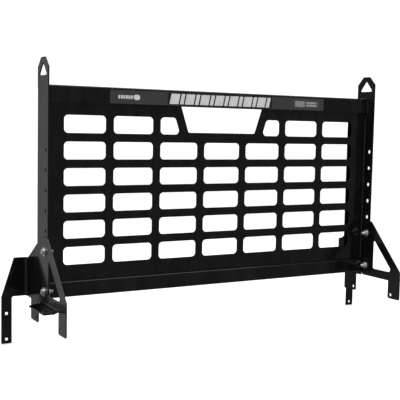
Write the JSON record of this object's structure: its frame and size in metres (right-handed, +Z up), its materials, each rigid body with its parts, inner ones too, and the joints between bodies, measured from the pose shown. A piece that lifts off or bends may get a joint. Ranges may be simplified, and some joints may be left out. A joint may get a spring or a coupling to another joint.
{
  "type": "headache rack",
  "caption": "Rigid pickup headache rack: a window-cut sheet panel between bent rails and eyed uprights, bolted to two formed feet that seat on the bed rails.",
  "frame": {"origin": "midway between the two feet, in the plane of the bed-rail tops, under the panel's front face", "axes": "+X to the right across the truck, +Y from the panel's lettered face towards the cab, +Z up"},
  "size_m": [1.7608, 0.4318, 1.1],
  "materials": {
    "panel_coat": "semi-gloss black powder coat on sheet",
    "frame_coat": "semi-gloss black powder coat on plate",
    "weld_coat": "powder-coated weld bead",
    "zinc": "bright zinc plate",
    "decal_grey": "satin vinyl",
    "decal_silver": "satin silver vinyl"
  },
  "bodies": {
    "root": {"window_panel": "panel_coat", "top_rail": "panel_coat", "bottom_rail": "panel_coat", "left_upright": "frame_coat", "right_upright": "frame_coat", "left_foot": "frame_coat", "right_foot": "frame_coat", "left_panel_weld": "weld_coat", "right_panel_weld": "weld_coat", "top_rail_welds": "weld_coat", "bottom_rail_welds": "weld_coat", "left_bolts": "zinc", "right_bolts": "zinc", "left_outer_washers": "zinc", "right_outer_washers": "zinc", "left_inner_washers": "zinc", "right_inner_washers": "zinc", "left_lock_nuts": "zinc", "right_lock_nuts": "zinc", "decal_strip": "decal_grey", "left_badge_decal": "decal_silver", "right_badge_decal": "decal_silver"}
  },
  "joints": []
}
